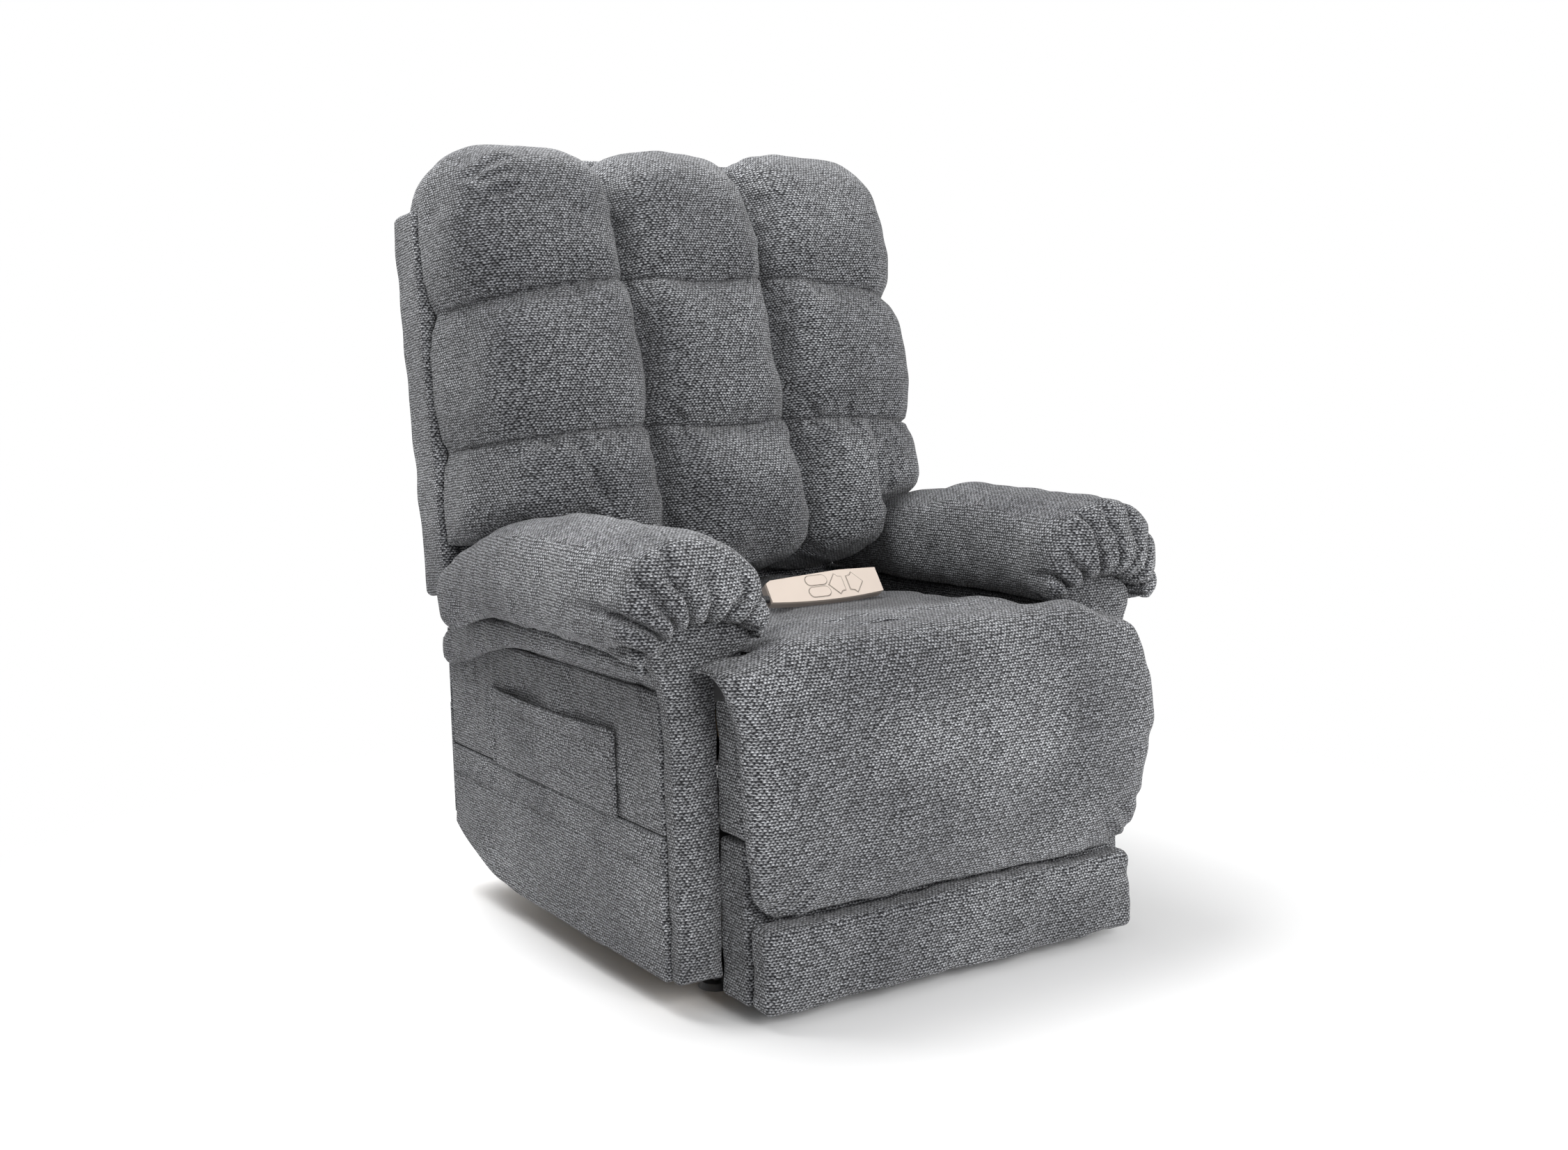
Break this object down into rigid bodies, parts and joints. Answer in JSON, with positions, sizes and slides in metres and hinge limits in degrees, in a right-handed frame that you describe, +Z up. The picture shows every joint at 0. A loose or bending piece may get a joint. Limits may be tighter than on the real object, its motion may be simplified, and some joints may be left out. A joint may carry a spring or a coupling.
{
  "type": "lift recliner chair",
  "caption": "Upholstered powered lift recliner with puffed channel back, padded arms, chaise leg rest, side pocket, corded handset and a tilting lift base.",
  "frame": {"origin": "on the floor, at the middle of the chair's footprint from the kick pad's face to the rear of the back", "axes": "+Z up, the chair faces -Y, +X is the sitter's left"},
  "size_m": [0.84, 0.8699, 1.1179],
  "materials": {
    "upholstery": "matte",
    "timber": "matte",
    "base_steel": "satin",
    "link_steel": "satin",
    "spring_wire": "satin",
    "drive_housing": "matte",
    "push_rod": "polished",
    "black_plastic": "matte",
    "handset_cream": "satin",
    "handset_grey": "satin",
    "cord_rubber": "matte"
  },
  "bodies": {
    "base": {"base_rail_left": "base_steel", "base_rail_right": "base_steel", "base_cross_tubes": "base_steel", "pivot_brackets": "base_steel", "levelling_feet": "black_plastic"},
    "lift_arms": {"lift_arm_left": "link_steel", "lift_arm_right": "link_steel", "lift_torque_tube": "link_steel"},
    "control_links": {"control_links": "link_steel"},
    "lift_motor": {"lift_motor": "drive_housing"},
    "lift_rod": {"lift_rod": "push_rod"},
    "chair": {"mechanism_plate_left": "link_steel", "mechanism_plate_right": "link_steel", "seat_cross_tube_front": "link_steel", "seat_cross_tube_rear": "link_steel", "seat_rail_front": "timber", "seat_rail_rear": "timber", "seat_springs": "spring_wire", "arm_frame_left": "timber", "arm_frame_right": "timber", "side_panel_left": "upholstery", "side_panel_right": "upholstery", "side_skirt_left": "upholstery", "side_skirt_right": "upholstery", "arm_facing_left": "upholstery", "arm_facing_right": "upholstery", "arm_band_left": "upholstery", "arm_band_right": "upholstery", "arm_pillow_left": "upholstery", "arm_pillow_right": "upholstery", "storage_pocket": "upholstery", "rear_panel": "upholstery", "seat_cushion": "upholstery", "chaise_nose": "upholstery", "leg_hinge_brackets": "link_steel", "control_box": "black_plastic", "handset_shell": "handset_grey", "handset_cover": "handset_cream", "handset_cord": "cord_rubber", "cord_relief": "cord_rubber"},
    "back": {"back_frame": "timber", "back_cover": "upholstery", "back_wing_left": "upholstery", "back_wing_right": "upholstery", "back_cushion": "upholstery", "back_straps": "link_steel"},
    "back_motor": {"back_motor": "drive_housing"},
    "back_rod": {"back_rod": "push_rod"},
    "leg_rest": {"leg_board": "timber", "leg_box": "upholstery", "leg_pad": "upholstery"},
    "leg_motor": {"leg_motor": "drive_housing"},
    "leg_rod": {"leg_rod": "push_rod"},
    "extension": {"extension_box": "upholstery", "kick_pad": "upholstery", "extension_runners": "link_steel"},
    "rocker_upper": {"rocker_upper": "handset_cream"},
    "rocker_lower": {"rocker_lower": "handset_cream"},
    "arrow_left": {"arrow_left": "handset_cream"},
    "arrow_right": {"arrow_right": "handset_cream"}
  },
  "joints": [
    {"name": "lift", "type": "hinge", "parent": "base", "child": "lift_arms", "pos_m": [0, -0.165, 0.14], "axis": [1, 0, 0], "range_deg": [0, 48]},
    {"name": "chair_tilt", "type": "hinge", "parent": "lift_arms", "child": "chair", "pos_m": [0, 0.175, 0.14], "axis": [1, 0, 0], "range_deg": [-28.85, 0]},
    {"name": "control_link_swing", "type": "hinge", "parent": "base", "child": "control_links", "pos_m": [0, -0.2135, 0.114], "axis": [1, 0, 0], "range_deg": [0, 53.75]},
    {"name": "lift_motor_swing", "type": "hinge", "parent": "base", "child": "lift_motor", "pos_m": [0, 0.25, 0.1], "axis": [1, 0, 0], "range_deg": [0, 4.92]},
    {"name": "lift_rod_slide", "type": "slide", "parent": "lift_motor", "child": "lift_rod", "axis": [0, -0.9681, 0.2506], "range_m": [0, 0.03655]},
    {"name": "back_recline", "type": "hinge", "parent": "chair", "child": "back", "pos_m": [0, 0.305, 0.34], "axis": [-1, 0, 0], "range_deg": [0, 40]},
    {"name": "back_motor_swing", "type": "hinge", "parent": "chair", "child": "back_motor", "pos_m": [-0.12, -0.11, 0.28], "axis": [1, 0, 0], "range_deg": [-0.65, 0]},
    {"name": "back_rod_slide", "type": "slide", "parent": "back_motor", "child": "back_rod", "axis": [0, 0.9969, -0.0781], "range_m": [-0.0672, 0]},
    {"name": "leg_rest", "type": "hinge", "parent": "chair", "child": "leg_rest", "pos_m": [0, -0.36, 0.41], "axis": [-1, 0, 0], "range_deg": [0, 82], "deforming": ["chaise_nose"]},
    {"name": "leg_motor_swing", "type": "hinge", "parent": "chair", "child": "leg_motor", "pos_m": [0.12, 0.205, 0.24], "axis": [1, 0, 0], "range_deg": [-1.1, 0]},
    {"name": "leg_rod_slide", "type": "slide", "parent": "leg_motor", "child": "leg_rod", "axis": [0, -0.9896, 0.1436], "range_m": [0, 0.1338]},
    {"name": "leg_extension", "type": "slide", "parent": "leg_rest", "child": "extension", "axis": [0, 0, -1], "range_m": [0, 0.0784]},
    {"name": "arrow_left_press", "type": "slide", "parent": "chair", "child": "arrow_left", "axis": [0, 0.8192, -0.5736], "range_m": [0, 0.001], "stiffness_N_per_m": 900},
    {"name": "arrow_right_press", "type": "slide", "parent": "chair", "child": "arrow_right", "axis": [0, 0.8192, -0.5736], "range_m": [0, 0.001], "stiffness_N_per_m": 900},
    {"name": "rocker_upper_tilt", "type": "hinge", "parent": "chair", "child": "rocker_upper", "pos_m": [-0.012, -0.12672, 0.48746], "axis": [1, 0, 0], "range_deg": [-4, 4], "stiffness_Nm_per_rad": 0.12},
    {"name": "rocker_lower_tilt", "type": "hinge", "parent": "chair", "child": "rocker_lower", "pos_m": [-0.012, -0.13705, 0.47271], "axis": [1, 0, 0], "range_deg": [-4, 4], "stiffness_Nm_per_rad": 0.12}
  ],
  "couplings": [
    {"joint": "chair_tilt", "follows": "lift", "ratio": -0.6},
    {"joint": "control_link_swing", "follows": "lift", "ratio": 1.1184},
    {"joint": "lift_motor_swing", "follows": "lift", "ratio": 0.1016},
    {"joint": "lift_rod_slide", "follows": "lift", "m_per_rad": 0.04352},
    {"joint": "back_motor_swing", "follows": "back_recline", "ratio": -0.0154},
    {"joint": "back_rod_slide", "follows": "back_recline", "m_per_rad": -0.09591},
    {"joint": "leg_motor_swing", "follows": "leg_rest", "ratio": -0.0132},
    {"joint": "leg_rod_slide", "follows": "leg_rest", "m_per_rad": 0.09326},
    {"joint": "leg_extension", "follows": "leg_rest", "m_per_rad": 0.0546}
  ]
}
